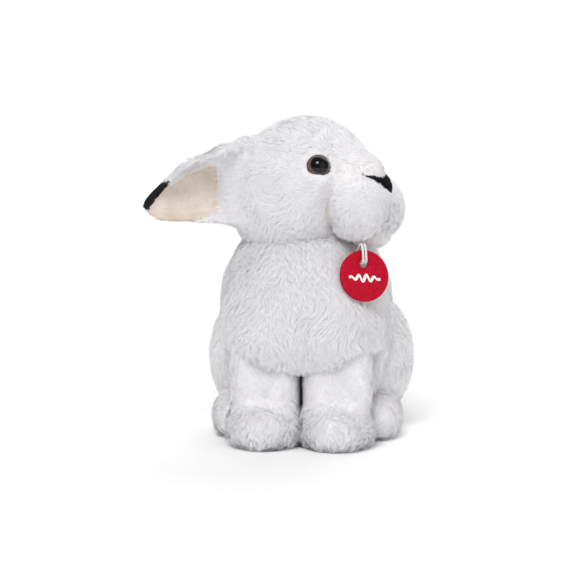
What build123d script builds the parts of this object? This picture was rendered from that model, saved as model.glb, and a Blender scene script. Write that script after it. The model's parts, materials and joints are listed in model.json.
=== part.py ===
"""Sitting plush rabbit: stuffed fabric pieces, button eyes and a hang tag.

Units are millimetres.  The floor is z = 0, the toy's front faces -Y and its own
left side is +X.  The head is stitched on turned towards the toy's left.
Every skin is a shell of fabric, and its stuffing is a separate solid inside it.
"""
import os
from math import cos, radians, sin, sqrt, tan

from build123d import *

os.makedirs("parts", exist_ok=True)

# ---- driving dimensions -------------------------------------------------------
SKIN = 2.0  # plush fabric with its backing
GAP = 0.3  # between a skin and the stuffing inside it
CLEAR = 0.4  # between two bodies that move on each other
FILL = SKIN + GAP  # how far a stuffing lies inside the outer surface

BODY_Y = 4.0  # the upright axis of torso, neck and head
TORSO_R = 58.5  # widest radius of the torso
TORSO_WIDE_Z = 78.0  # height of the widest ring
SEAT_R = 34.0  # flat the toy sits on
TORSO_TOP_R = 43.0
TORSO_TOP_Z = 124.0
BELLY_Y = -5.0  # the flat belly behind the front legs
CHEST_Z = 78.0  # underside of the chest, above the front legs

NECK_R = 22.0
NECK_Z = 100.0

SHOULDER_X = 23.5
SHOULDER_Y = -28.0
SHOULDER_Z = 66.0
LEG_R = 20.0
PAW_Y = -40.0
PAW_Z = 12.0
PAW_R = 22.0
PAW_HALF_H = 16.0
PAW_SEAM_Z = 28.5

HAUNCH_AT = (43.0, 38.0, 50.0)
HAUNCH_R = 42.0
HAUNCH_HALF_W = 30.0
HIND_AT = (48.5, 12.0, 13.0)
HIND_R = 15.0
HIND_HALF_L = 31.0

TAIL_AT = (0.0, 64.0, 27.0)
TAIL_R = 15.0

HEAD_Z = 163.0
HEAD_YAW = 62.0  # degrees the head is turned to the toy's left
SKULL_R = 46.0
GUSSET_HALF_W = 14.0

PUFF_AT = (12.5, -46.0, -10.0)  # muzzle pads, in the head's own frame
PUFF_R = 19.0
PUFF_HALF_H = 22.0
BRIDGE_AT = (0.0, -40.0, 6.0)
BRIDGE_R = 20.0
BRIDGE_HALF_H = 17.0
CHIN_AT = (0.0, -45.0, -25.0)
CHIN_R = 17.0
CHIN_HALF_H = 9.0

NOSE_AT = (0.0, -63.0, 8.0)
NOSE_HALF_W = 13.0
NOSE_UP = 6.0
NOSE_DOWN = 8.0

EYE_AROUND = 46.0  # degrees from straight ahead to the side
EYE_ABOVE = 22.5  # degrees above the middle of the head
EYE_R = 7.5
EYE_DOME = 5.0
EYE_SUNK = 1.0
STEM_R = 2.2
STEM_DEPTH = 11.0
WASHER_R = 8.0
WASHER_TOP = -3.0
WASHER_T = 1.2

EAR_ROOT = (31.5, 33.5, 13.0)  # left ear, in the head's own frame
EAR_ALONG = (0.56, 0.76, -0.33)
EAR_FACE = (0.80, -0.54, -0.25)
EAR_LENGTH = 66.0
EAR_HALF_W = 24.0
EAR_ROOT_W = 12.0  # half the width at the root
EAR_TIP_W = 6.0  # half the width near the blunt tip
EAR_CURL = 30.0  # radius the ear is rolled to
EAR_TIP_FROM = 36.0  # where the dark tip cloth starts, from the root
EAR_HEAD_GAP = 2.5

TAG_AT = (40.8, -39.0, 111.2)
TAG_R = 16.5
TAG_T = 1.6
TAG_AROUND = 25.0
TAG_TILT = 12.0
TAG_HOLE_UP = 7.8
TAG_HOLE_R = 2.7
CORD_D = 1.5
CORD_SPREAD = 1.0  # half the distance between the two strands
KNOT_R = 3.0
KNOT_BACK = 4.2  # knot centre behind the middle of the disc
CORD_ROUTE = (  # height above the middle of the disc, and distance in front of it
    (19.4, -2.2),
    (20.6, 1.2),
    (18.6, 3.7),
    (9.6, 3.5),
    (7.9, 2.0),
    (7.8, -3.4),
)
SEAM_AT = (34.7, -25.7, 122.5)  # where the cord leaves the neck seam

BIG = 400.0
SIDES = (("left", 1), ("right", -1))


# ---- frames and helpers --------------------------------------------------------
HEAD = Plane(
    origin=(0, BODY_Y, HEAD_Z),
    x_dir=(cos(radians(HEAD_YAW)), sin(radians(HEAD_YAW)), 0),
    z_dir=(0, 0, 1),
)


def in_head(x, y, z):
    """A place in the head's own frame, as a Location of the whole toy."""
    return HEAD.location * Location((x, y, z))


def head_point(x, y, z):
    return HEAD.from_local_coords(Vector(x, y, z))


def head_vector(x, y, z):
    return head_point(x, y, z) - head_point(0, 0, 0)


def save(name, part):
    part.label = name
    export_step(part, f"parts/{name}.step")


def spheroid(across, half_height):
    """A rounded cushion about Z, centred on the origin: an oval of tangent arcs."""
    long_axis, short_axis = max(across, half_height), min(across, half_height)
    end_r = 1.12 * short_axis**2 / long_axis
    side_r = (long_axis**2 + short_axis**2 - 2 * long_axis * end_r) / (2 * (short_axis - end_r))
    end_centre, side_centre = Vector(long_axis - end_r, 0), Vector(0, short_axis - side_r)
    meet = end_centre + (end_centre - side_centre).normalized() * end_r
    join = (meet.X, meet.Y) if across > half_height else (meet.Y, meet.X)
    with BuildPart(mode=Mode.PRIVATE) as cushion:
        with BuildSketch(Plane.XZ) as half:
            with BuildLine():
                TangentArc((0, half_height), join, tangent=(1, 0))
                TangentArc((across, 0), join, tangent=(0, 1))
                TangentArc((0, -half_height), (join[0], -join[1]), tangent=(1, 0))
                TangentArc((across, 0), (join[0], -join[1]), tangent=(0, -1))
                Line((0, half_height), (0, -half_height))
            make_face()
        revolve(axis=Axis.Z)
    return cushion.part


def keep_side(part, plane):
    """The piece of a part that lies on a plane's positive side."""
    with BuildPart(mode=Mode.PRIVATE) as kept:
        add(part)
        split(bisect_by=plane, keep=Keep.TOP)
    return kept.part


def above(z):
    return Plane(origin=(0, 0, z), z_dir=(0, 0, 1))


def below(z):
    return Plane(origin=(0, 0, z), z_dir=(0, 0, -1))


def combine(solid, cuts):
    """A solid with its neighbours' volumes taken out."""
    with BuildPart(mode=Mode.PRIVATE) as result:
        add(solid)
        for cut in cuts:
            add(cut, mode=Mode.SUBTRACT)
    return result.part


# ---- torso ----------------------------------------------------------------------
def torso_volume(inset):
    """The torso's outer volume, or the same shape a fixed distance inside it."""
    axis_plane = Plane(origin=(0, BODY_Y, 0), x_dir=(1, 0, 0), z_dir=(0, -1, 0))
    low_centre = (SEAT_R**2 + TORSO_WIDE_Z**2 - TORSO_R**2) / (2 * (SEAT_R - TORSO_R))
    rise = TORSO_TOP_Z - TORSO_WIDE_Z
    top_centre = (TORSO_TOP_R**2 + rise**2 - TORSO_R**2) / (2 * (TORSO_TOP_R - TORSO_R))
    low_r = low_centre + sqrt((TORSO_R - low_centre - inset) ** 2 - (TORSO_WIDE_Z - inset) ** 2)
    top_r = top_centre + sqrt((TORSO_R - top_centre - inset) ** 2 - (rise - inset) ** 2)
    wide = (TORSO_R - inset, TORSO_WIDE_Z)
    seat = (low_r, inset)
    top = (top_r, TORSO_TOP_Z - inset)
    with BuildPart(mode=Mode.PRIVATE) as volume:
        with BuildSketch(axis_plane):
            with BuildLine():
                Line((0, inset), seat)
                TangentArc(wide, seat, tangent=(0, -1))
                TangentArc(wide, top, tangent=(0, 1))
                Line(top, (0, TORSO_TOP_Z - inset))
                Line((0, TORSO_TOP_Z - inset), (0, inset))
            make_face()
        revolve(axis=Axis((0, BODY_Y, 0), (0, 0, 1)))
        with Locations((0, BELLY_Y + inset, CHEST_Z + inset)):
            Box(BIG, BIG, BIG, align=(Align.CENTER, Align.MAX, Align.MAX), mode=Mode.SUBTRACT)
        with Locations(*[(s * SHOULDER_X, SHOULDER_Y, SHOULDER_Z) for _, s in SIDES]):
            Sphere(LEG_R + CLEAR + inset, mode=Mode.SUBTRACT)
        with Locations((0, BODY_Y, HEAD_Z)):
            Sphere(SKULL_R + CLEAR + inset, mode=Mode.SUBTRACT)
        with Locations((0, BODY_Y, NECK_Z - CLEAR - inset)):
            Cylinder(
                NECK_R + CLEAR + inset,
                BIG,
                align=(Align.CENTER, Align.CENTER, Align.MIN),
                mode=Mode.SUBTRACT,
            )
    return volume.part


torso_outer = torso_volume(0)

with BuildPart() as torso_skin:
    add(torso_outer)
    add(torso_volume(SKIN), mode=Mode.SUBTRACT)

PANEL_Y = BELLY_Y + SKIN
SEAT_SEAM_Z = 10.0
CHEST_SEAM_Z = SHOULDER_Z + LEG_R + CLEAR + SKIN + 1.6
front_of = Plane(origin=(0, PANEL_Y, 0), z_dir=(0, -1, 0))
behind = Plane(origin=(0, PANEL_Y, 0), z_dir=(0, 1, 0))

with BuildPart() as seat_panel:
    add(torso_skin.part)
    split(bisect_by=below(SEAT_SEAM_Z), keep=Keep.TOP)
save("seat_panel", seat_panel.part)

with BuildPart() as chest_panel:
    add(torso_skin.part)
    split(bisect_by=front_of, keep=Keep.TOP)
    split(bisect_by=above(CHEST_SEAM_Z), keep=Keep.TOP)
save("chest_panel", chest_panel.part)

with BuildPart() as underbelly_panel:
    add(torso_skin.part)
    split(bisect_by=front_of, keep=Keep.TOP)
    split(bisect_by=below(CHEST_SEAM_Z), keep=Keep.TOP)
    split(bisect_by=above(SEAT_SEAM_Z), keep=Keep.TOP)
save("underbelly_panel", underbelly_panel.part)

for side, s in SIDES:
    with BuildPart() as back_panel:
        add(torso_skin.part)
        split(bisect_by=behind, keep=Keep.TOP)
        split(bisect_by=above(SEAT_SEAM_Z), keep=Keep.TOP)
        split(bisect_by=Plane(origin=(0, 0, 0), z_dir=(s, 0, 0)), keep=Keep.TOP)
    save(f"back_panel_{side}", back_panel.part)

with BuildPart() as torso_filling:
    add(torso_volume(FILL))
save("torso_filling", torso_filling.part)


# ---- haunches, hind feet and tail, sewn to the torso -------------------------------
def haunch_volume(s, inset):
    with BuildPart(mode=Mode.PRIVATE) as volume:
        with Locations(Location((s * HAUNCH_AT[0], HAUNCH_AT[1], HAUNCH_AT[2]), (0, 90, 0))):
            add(spheroid(HAUNCH_R - inset, HAUNCH_HALF_W - inset))
        add(torso_outer, mode=Mode.SUBTRACT)
    return volume.part


def hind_volume(s, inset):
    with BuildPart(mode=Mode.PRIVATE) as volume:
        with Locations(Location((s * HIND_AT[0], HIND_AT[1], HIND_AT[2]), (90, 0, 0))):
            add(spheroid(HIND_R - inset, HIND_HALF_L - inset))
        split(bisect_by=above(inset), keep=Keep.TOP)
        add(torso_outer, mode=Mode.SUBTRACT)
        add(haunch_volume(s, 0), mode=Mode.SUBTRACT)
    return volume.part


def tail_volume(inset):
    with BuildPart(mode=Mode.PRIVATE) as volume:
        with Locations(TAIL_AT):
            Sphere(TAIL_R - inset)
        add(torso_outer, mode=Mode.SUBTRACT)
    return volume.part


for side, s in SIDES:
    save(f"haunch_skin_{side}", combine(haunch_volume(s, 0), [haunch_volume(s, SKIN)]))
    save(f"haunch_filling_{side}", haunch_volume(s, FILL))
    save(f"hind_foot_skin_{side}", combine(hind_volume(s, 0), [hind_volume(s, SKIN)]))
    save(f"hind_foot_filling_{side}", hind_volume(s, FILL))

save("tail_skin", combine(tail_volume(0), [tail_volume(SKIN)]))
save("tail_filling", tail_volume(FILL))


# ---- front legs ----------------------------------------------------------------------
def leg_volume(s, inset):
    with BuildPart(mode=Mode.PRIVATE) as volume:
        with Locations((s * SHOULDER_X, SHOULDER_Y, SHOULDER_Z)):
            Sphere(LEG_R - inset)
        with Locations((s * SHOULDER_X, SHOULDER_Y, 0)):
            Cylinder(LEG_R - inset, SHOULDER_Z, align=(Align.CENTER, Align.CENTER, Align.MIN))
        with Locations((s * SHOULDER_X, PAW_Y, PAW_Z)):
            add(spheroid(PAW_R - inset, PAW_HALF_H - inset))
        split(bisect_by=above(inset), keep=Keep.TOP)
    return volume.part


for side, s in SIDES:
    leg_shell = combine(leg_volume(s, 0), [leg_volume(s, SKIN)])
    save(f"front_leg_skin_{side}", keep_side(leg_shell, above(PAW_SEAM_Z)))
    save(f"front_paw_skin_{side}", keep_side(leg_shell, below(PAW_SEAM_Z)))
    save(f"front_leg_filling_{side}", leg_volume(s, FILL))


# ---- neck ------------------------------------------------------------------------------
with BuildPart() as neck_filling:
    with Locations((0, BODY_Y, NECK_Z)):
        Cylinder(NECK_R, HEAD_Z - NECK_Z, align=(Align.CENTER, Align.CENTER, Align.MIN))
    with Locations((0, BODY_Y, HEAD_Z)):
        Sphere(SKULL_R + CLEAR, mode=Mode.SUBTRACT)
save("neck_filling", neck_filling.part)


# ---- head ------------------------------------------------------------------------------
def eye_frame(s):
    """The plane of an eye's seat: its Z points straight out of the head."""
    out = head_vector(
        s * sin(radians(EYE_AROUND)) * cos(radians(EYE_ABOVE)),
        -cos(radians(EYE_AROUND)) * cos(radians(EYE_ABOVE)),
        sin(radians(EYE_ABOVE)),
    )
    return Plane(origin=head_point(0, 0, 0) + out * SKULL_R, x_dir=(0, 0, 1), z_dir=out)


def eye_solid(s):
    frame = eye_frame(s)
    with BuildPart(mode=Mode.PRIVATE) as eye:
        with BuildSketch(Plane.XZ):
            with BuildLine():
                TangentArc((0, EYE_DOME), (EYE_R, -EYE_SUNK), tangent=(1, 0))
                Polyline(
                    (EYE_R, -EYE_SUNK),
                    (STEM_R, -EYE_SUNK),
                    (STEM_R, -STEM_DEPTH),
                    (0, -STEM_DEPTH),
                    (0, EYE_DOME),
                )
            make_face()
        revolve(axis=Axis.Z)
    return frame.location * eye.part


def washer_solid(s):
    frame = eye_frame(s)
    with BuildPart(mode=Mode.PRIVATE) as washer:
        with Locations((0, 0, WASHER_TOP)):
            Cylinder(WASHER_R, WASHER_T, align=(Align.CENTER, Align.CENTER, Align.MAX))
            Cylinder(STEM_R, WASHER_T, align=(Align.CENTER, Align.CENTER, Align.MAX), mode=Mode.SUBTRACT)
    return frame.location * washer.part


def skull_volume(inset):
    with BuildPart(mode=Mode.PRIVATE) as volume:
        with Locations((0, BODY_Y, HEAD_Z)):
            Sphere(SKULL_R - inset)
    return volume.part


def puff_volume(s, inset):
    with BuildPart(mode=Mode.PRIVATE) as volume:
        with Locations(in_head(s * PUFF_AT[0], PUFF_AT[1], PUFF_AT[2])):
            add(spheroid(PUFF_R - inset, PUFF_HALF_H - inset))
        split(bisect_by=Plane(origin=head_point(0, 0, 0), z_dir=head_vector(s, 0, 0)), keep=Keep.TOP)
        add(skull_volume(0), mode=Mode.SUBTRACT)
    return volume.part


puffs_outer = [puff_volume(s, 0) for _, s in SIDES]


def bridge_volume(inset):
    with BuildPart(mode=Mode.PRIVATE) as volume:
        with Locations(in_head(*BRIDGE_AT)):
            add(spheroid(BRIDGE_R - inset, BRIDGE_HALF_H - inset))
        for cut in [skull_volume(0)] + puffs_outer:
            add(cut, mode=Mode.SUBTRACT)
    return volume.part


bridge_outer = bridge_volume(0)


def chin_volume(inset):
    with BuildPart(mode=Mode.PRIVATE) as volume:
        with Locations(in_head(*CHIN_AT)):
            add(spheroid(CHIN_R - inset, CHIN_HALF_H - inset))
        for cut in [skull_volume(0), bridge_outer] + puffs_outer:
            add(cut, mode=Mode.SUBTRACT)
    return volume.part


def washer_pocket(s):
    """Room in the stuffing for a washer, open to the skin."""
    with BuildPart(mode=Mode.PRIVATE) as pocket:
        with Locations((0, 0, WASHER_TOP - WASHER_T)):
            Cylinder(WASHER_R, 10, align=(Align.CENTER, Align.CENTER, Align.MIN))
    return eye_frame(s).location * pocket.part


eyes = [eye_solid(s) for _, s in SIDES]
washers = [washer_solid(s) for _, s in SIDES]
for (side, s), eye, washer in zip(SIDES, eyes, washers):
    save(f"eye_{side}", eye)
    save(f"eye_washer_{side}", washer)

skull_shell = combine(skull_volume(0), [skull_volume(SKIN)] + eyes)
for side, s in SIDES:
    seam = Plane(origin=head_point(s * GUSSET_HALF_W, 0, 0), z_dir=head_vector(s, 0, 0))
    save(f"head_side_{side}", keep_side(skull_shell, seam))
left_seam = Plane(origin=head_point(GUSSET_HALF_W, 0, 0), z_dir=head_vector(-1, 0, 0))
right_seam = Plane(origin=head_point(-GUSSET_HALF_W, 0, 0), z_dir=head_vector(1, 0, 0))
save("head_gusset", keep_side(keep_side(skull_shell, left_seam), right_seam))
save("head_filling", combine(skull_volume(FILL), eyes + [washer_pocket(s) for _, s in SIDES]))

for side, s in SIDES:
    save(f"muzzle_skin_{side}", combine(puff_volume(s, 0), [puff_volume(s, SKIN)]))
    save(f"muzzle_filling_{side}", puff_volume(s, FILL))
save("chin_skin", combine(chin_volume(0), [chin_volume(SKIN)]))
save("nose_bridge_skin", combine(bridge_outer, [bridge_volume(SKIN)]))
save("nose_bridge_filling", bridge_volume(FILL))
save("chin_filling", chin_volume(FILL))

nose_frame = Plane(
    origin=head_point(*NOSE_AT),
    x_dir=head_vector(1, 0, 0),
    z_dir=head_vector(0, -1, 0),
)
with BuildPart() as nose_patch:
    with BuildSketch(nose_frame) as nose_outline:
        Polygon((-NOSE_HALF_W, NOSE_UP), (0, -NOSE_DOWN), (NOSE_HALF_W, NOSE_UP), align=None)
        fillet(nose_outline.vertices(), radius=2.0)
    extrude(amount=-10)
    for cut in [skull_volume(0), bridge_outer] + puffs_outer:
        add(cut, mode=Mode.SUBTRACT)
save("nose_patch", nose_patch.part)


# ---- ears ------------------------------------------------------------------------------
def ear_axes(s):
    """Root, direction along, direction the lining faces, and direction across."""
    along = head_vector(s * EAR_ALONG[0], EAR_ALONG[1], EAR_ALONG[2]).normalized()
    face = head_vector(s * EAR_FACE[0], EAR_FACE[1], EAR_FACE[2])
    face = (face - along * face.dot(along)).normalized()
    root = head_point(s * EAR_ROOT[0], EAR_ROOT[1], EAR_ROOT[2])
    return root, along, face, face.cross(along)


def ear_layer(s, inner_radius, margin):
    """One rolled layer of the ear, cut to the leaf outline less a margin."""
    root, along, face, across = ear_axes(s)
    with BuildPart(mode=Mode.PRIVATE) as layer:
        with BuildSketch(Plane(origin=root, x_dir=across, z_dir=along)):
            with Locations((0, EAR_CURL + SKIN)):
                Circle(inner_radius + SKIN)
                Circle(inner_radius, mode=Mode.SUBTRACT)
        extrude(amount=EAR_LENGTH + 1)
        with BuildSketch(Plane(origin=root, x_dir=along, z_dir=face)):
            with BuildLine():
                root_w = EAR_ROOT_W - margin
                tip_w = EAR_TIP_W - margin
                edge = Spline(
                    (0, root_w),
                    (EAR_LENGTH * 0.35, EAR_HALF_W - margin),
                    (EAR_LENGTH * 0.72, EAR_HALF_W * 0.68 - margin),
                    (EAR_LENGTH - tip_w, tip_w),
                )
                mirror(edge, about=Plane.XZ)
                Line((0, root_w), (0, -root_w))
                ThreePointArc(
                    (EAR_LENGTH - tip_w, tip_w),
                    (EAR_LENGTH - margin, 0),
                    (EAR_LENGTH - tip_w, -tip_w),
                )
            make_face()
        extrude(amount=EAR_CURL, both=True, mode=Mode.INTERSECT)
        with Locations((0, BODY_Y, HEAD_Z)):
            Sphere(SKULL_R + EAR_HEAD_GAP, mode=Mode.SUBTRACT)
    return layer.part


for side, s in SIDES:
    root, along, face, across = ear_axes(s)
    back_cloth = ear_layer(s, EAR_CURL, 0)
    tip_seam = Plane(origin=root + along * EAR_TIP_FROM, z_dir=along)
    root_side = Plane(origin=root + along * EAR_TIP_FROM, z_dir=along * -1)
    save(f"ear_back_{side}", keep_side(back_cloth, root_side))
    save(f"ear_tip_{side}", keep_side(back_cloth, tip_seam))
    save(f"ear_lining_{side}", ear_layer(s, EAR_CURL - SKIN, 1.0))
    print(side, "ear root", [round(v, 2) for v in root], "across", [round(v, 3) for v in across])


# ---- hang tag ---------------------------------------------------------------------------
tag_normal = Vector(
    sin(radians(TAG_AROUND)) * cos(radians(TAG_TILT)),
    -cos(radians(TAG_AROUND)) * cos(radians(TAG_TILT)),
    sin(radians(TAG_TILT)),
)
tag_right = Vector(cos(radians(TAG_AROUND)), sin(radians(TAG_AROUND)), 0)
tag_frame = Plane(origin=TAG_AT, x_dir=tag_right, z_dir=tag_normal)

with BuildPart() as tag_disc:
    with BuildSketch(tag_frame.offset(-TAG_T / 2)):
        Circle(TAG_R)
        with Locations((0, TAG_HOLE_UP)):
            Circle(TAG_HOLE_R, mode=Mode.SUBTRACT)
    extrude(amount=TAG_T)
    chamfer(tag_disc.edges().filter_by(GeomType.CIRCLE).group_by(SortBy.RADIUS)[-1], length=0.4)
save("tag_disc", tag_disc.part)


def tag_point(x, y, z):
    return tag_frame.from_local_coords(Vector(x, y, z))


with BuildPart() as tag_knot:
    with Locations(tag_point(0, TAG_HOLE_UP, -KNOT_BACK)):
        Sphere(KNOT_R)
save("tag_knot", tag_knot.part)

for side, s in SIDES:
    across = s * CORD_SPREAD
    seam_at = Vector(*SEAM_AT) + tag_right * (across * 1.5)
    route = [seam_at] + [tag_point(across, up, out) for up, out in CORD_ROUTE]
    runs = [b - a for a, b in zip(route, route[1:])]
    radii = []
    for before, after in zip(runs, runs[1:]):
        turn = radians(before.get_angle(after))
        radii.append(0.45 * min(before.length, after.length) / tan(turn / 2))
    print(side, "cord runs", [round(r.length, 1) for r in runs], "bend radii", [round(r, 1) for r in radii])
    with BuildPart() as cord:
        with BuildLine() as path:
            FilletPolyline(*route, radius=radii)
        with BuildSketch(Plane(origin=path.line @ 0, z_dir=path.line % 0)):
            Circle(CORD_D / 2)
        sweep(path=path.line)
        add(tag_knot.part, mode=Mode.SUBTRACT)
    length = sum(edge.length for edge in path.edges())
    print(side, "cord length", round(length, 1), "volume", round(cord.part.volume, 1))
    save(f"tag_cord_{side}", cord.part)
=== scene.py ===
"""Looks of the sitting plush rabbit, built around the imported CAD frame.

Shapes are worked out in millimetres and turned to metres when a mesh is made.
Front is -Y, the toy's own left is +X, the floor is z = 0.
"""
import json
import math

import bpy
import numpy as np
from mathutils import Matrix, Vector
from mathutils.kdtree import KDTree


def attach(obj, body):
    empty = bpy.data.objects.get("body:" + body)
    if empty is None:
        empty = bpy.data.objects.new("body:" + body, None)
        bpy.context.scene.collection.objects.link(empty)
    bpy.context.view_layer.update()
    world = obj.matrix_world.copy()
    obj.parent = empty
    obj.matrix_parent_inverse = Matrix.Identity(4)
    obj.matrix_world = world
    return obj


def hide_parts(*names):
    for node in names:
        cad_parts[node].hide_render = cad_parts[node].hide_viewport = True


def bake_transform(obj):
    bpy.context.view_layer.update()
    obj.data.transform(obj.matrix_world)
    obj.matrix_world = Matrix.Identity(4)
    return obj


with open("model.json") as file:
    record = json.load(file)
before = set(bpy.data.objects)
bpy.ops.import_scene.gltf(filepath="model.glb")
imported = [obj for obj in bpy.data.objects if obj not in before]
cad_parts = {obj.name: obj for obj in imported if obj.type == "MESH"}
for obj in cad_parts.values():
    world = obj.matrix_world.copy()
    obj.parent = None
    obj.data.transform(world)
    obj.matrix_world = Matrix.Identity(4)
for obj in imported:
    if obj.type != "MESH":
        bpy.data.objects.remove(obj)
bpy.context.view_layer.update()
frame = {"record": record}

MM = 0.001
HEAD_CENTRE = np.array([0.0, 4.0, 163.0])
HEAD_YAW = math.radians(62.0)
DOWN = np.array([0.0, 0.0, -1.0])
SIDES = (("left", 1), ("right", -1))


def add_object(name, data):
    obj = bpy.data.objects.new(name, data)
    bpy.context.scene.collection.objects.link(obj)
    return obj


# ---- camera --------------------------------------------------------------------------
CAMERA_AROUND = math.radians(6.0)
CAMERA_ABOVE = math.radians(6.0)
CAMERA_AWAY = 1.2
CAMERA_AIM = Vector((-0.009, 0.0, 0.096))
CAMERA_LENS = 111.9

back = Vector((
    math.sin(CAMERA_AROUND) * math.cos(CAMERA_ABOVE),
    -math.cos(CAMERA_AROUND) * math.cos(CAMERA_ABOVE),
    math.sin(CAMERA_ABOVE),
))
camera = add_object("camera", bpy.data.cameras.new("camera"))
camera.location = CAMERA_AIM + back * CAMERA_AWAY
camera.rotation_mode = "QUATERNION"
camera.rotation_quaternion = (-back).to_track_quat("-Z", "Y")
camera.data.lens = CAMERA_LENS
bpy.context.scene.camera = camera
bpy.context.scene.view_settings.view_transform = "Standard"


# ---- small tools ---------------------------------------------------------------------
def unit(v):
    return v / np.maximum(np.linalg.norm(v, axis=-1, keepdims=True), 1e-9)


def smoothstep(low, high, x):
    t = np.clip((x - low) / (high - low), 0, 1)
    return t * t * (3 - 2 * t)


def to_head(p):
    """Points of the whole toy in the head's own frame, whose nose points along -Y."""
    c, s = math.cos(HEAD_YAW), math.sin(HEAD_YAW)
    x, y, z = np.moveaxis(p - HEAD_CENTRE, -1, 0)
    return np.stack([x * c + y * s, y * c - x * s, z], -1)


def from_head(v):
    """A direction in the head's own frame, turned to the whole toy's."""
    c, s = math.cos(HEAD_YAW), math.sin(HEAD_YAW)
    x, y, z = np.moveaxis(np.asarray(v, float), -1, 0)
    return np.stack([x * c - y * s, x * s + y * c, z], -1)


def head_point(v):
    """Points given in the head's own frame, in the whole toy's."""
    return HEAD_CENTRE + from_head(v)


def make_mesh(name, verts, faces, materials, smooth=True):
    """A new mesh object from points in millimetres."""
    mesh = bpy.data.meshes.new(name)
    mesh.from_pydata((np.asarray(verts) * MM).tolist(), [], [list(f) for f in faces])
    for m in materials:
        mesh.materials.append(m)
    mesh.polygons.foreach_set("use_smooth", [smooth] * len(mesh.polygons))
    return add_object(name, mesh)


# ---- materials -----------------------------------------------------------------------
def new_material(name, colour, roughness, **sockets):
    """A Principled material; other sockets are named with _ for a space."""
    m = bpy.data.materials.new(name)
    m.use_nodes = True
    shader = m.node_tree.nodes["Principled BSDF"]
    shader.inputs["Base Color"].default_value = (*colour, 1)
    shader.inputs["Roughness"].default_value = roughness
    for key, value in sockets.items():
        shader.inputs[key.replace("_", " ")].default_value = value
    return m


def add_noise(m, scale):
    """A noise node in object space."""
    place = m.node_tree.nodes.new("ShaderNodeTexCoord")
    noise = m.node_tree.nodes.new("ShaderNodeTexNoise")
    noise.inputs["Scale"].default_value = scale
    m.node_tree.links.new(place.outputs["Object"], noise.inputs["Vector"])
    return noise


def add_noise_bump(m, scale, strength, distance):
    """Fine woven or napped relief."""
    nodes, links = m.node_tree.nodes, m.node_tree.links
    noise = add_noise(m, scale)
    noise.inputs["Detail"].default_value = 4
    bump = nodes.new("ShaderNodeBump")
    bump.inputs["Strength"].default_value = strength
    bump.inputs["Distance"].default_value = distance
    links.new(noise.outputs["Fac"], bump.inputs["Height"])
    links.new(bump.outputs["Normal"], nodes["Principled BSDF"].inputs["Normal"])


def add_colour_noise(m, scale, low, high):
    """Base colour that drifts between two tones."""
    nodes, links = m.node_tree.nodes, m.node_tree.links
    noise = add_noise(m, scale)
    ramp = nodes.new("ShaderNodeValToRGB")
    for stop, position, tone in zip(ramp.color_ramp.elements, (0.35, 0.65), (low, high)):
        stop.position = position
        stop.color = (*tone, 1)
    links.new(noise.outputs["Fac"], ramp.inputs["Fac"])
    links.new(ramp.outputs["Color"], nodes["Principled BSDF"].inputs["Base Color"])


WHITES = [(0.955, 0.95, 0.965), (0.935, 0.93, 0.95), (0.965, 0.96, 0.97), (0.915, 0.905, 0.935)]
CREAMS = [(0.74, 0.65, 0.565), (0.70, 0.60, 0.50)]
BLACKS = [(0.012, 0.012, 0.014), (0.022, 0.022, 0.026)]
# painted shadow: tan strands that stand in for the shade in the ear lining's top corner by the
# head
SHADOW_TANS = [(0.55, 0.37, 0.21)]
# the strand colours in four groups, which are numbered by the names below
WHITE, CREAM, BLACK, SHADOW_TAN = range(4)
COATS, GROUPS = [], []
for kind, colours, roughness, sockets in (
    ("white", WHITES, 0.8, {"Sheen_Weight": 0.6, "Sheen_Roughness": 0.45}),
    ("cream", CREAMS, 0.85, {"Sheen_Weight": 0.2}),
    ("black", BLACKS, 0.8, {"Specular_IOR_Level": 0.1}),
    ("shadow_tan", SHADOW_TANS, 0.85, {"Sheen_Weight": 0.2}),
):
    GROUPS.append((len(COATS), len(COATS) + len(colours)))
    for i, c in enumerate(colours):
        COATS.append(new_material(f"{kind}_fur_{i}", c, roughness, **sockets))

# painted shade: the base cloth under the pile is greyer than the strands and stands in for the
# shade deep in the pile; its tone also drifts at random
plush_ground_painted_pile_shade = new_material("plush_ground_painted_pile_shade", (0.79, 0.78, 0.79), 0.9)
add_colour_noise(plush_ground_painted_pile_shade, 90, (0.75, 0.735, 0.74), (0.83, 0.82, 0.83))
add_noise_bump(plush_ground_painted_pile_shade, 900, 0.5, 0.0006)
lining_cloth = new_material("ear_lining_cloth", (0.67, 0.57, 0.485), 0.9, Sheen_Weight=0.2)
add_colour_noise(lining_cloth, 60, (0.62, 0.51, 0.41), (0.73, 0.655, 0.585))
add_noise_bump(lining_cloth, 1400, 0.5, 0.0005)
black_cloth = new_material("black_cloth", (0.015, 0.015, 0.018), 0.85, Specular_IOR_Level=0.12)
add_colour_noise(black_cloth, 300, (0.010, 0.010, 0.012), (0.022, 0.022, 0.026))
add_noise_bump(black_cloth, 1600, 0.6, 0.0005)


# ---- soft shapes as distance fields --------------------------------------------------
def egg(p, centre, radii, turn=None):
    """An ellipsoid, turned if its axes are given as the columns of turn."""
    q = p - np.asarray(centre, float)
    if turn is not None:
        q = q @ turn
    r = np.asarray(radii, float)
    k0 = np.linalg.norm(q / r, axis=-1)
    k1 = np.linalg.norm(q / (r * r), axis=-1)
    return k0 * (k0 - 1) / np.maximum(k1, 1e-9)


def limb(p, a, b, ra, rb):
    """A capsule that tapers from radius ra at a to rb at b."""
    a, b = np.asarray(a, float), np.asarray(b, float)
    along = b - a
    t = np.clip((p - a) @ along / (along @ along), 0, 1)
    return np.linalg.norm(p - a - t[..., None] * along, axis=-1) - (ra + (rb - ra) * t)


def join(a, b, k):
    """The union of two fields, filleted over about k mm."""
    h = np.clip(0.5 + 0.5 * (b - a) / k, 0, 1)
    return b + (a - b) * h - k * h * (1 - h)


def cut(a, b, k):
    """What is inside both fields, with its edge rounded over about k mm."""
    return -join(-a, -b, k)


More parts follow.
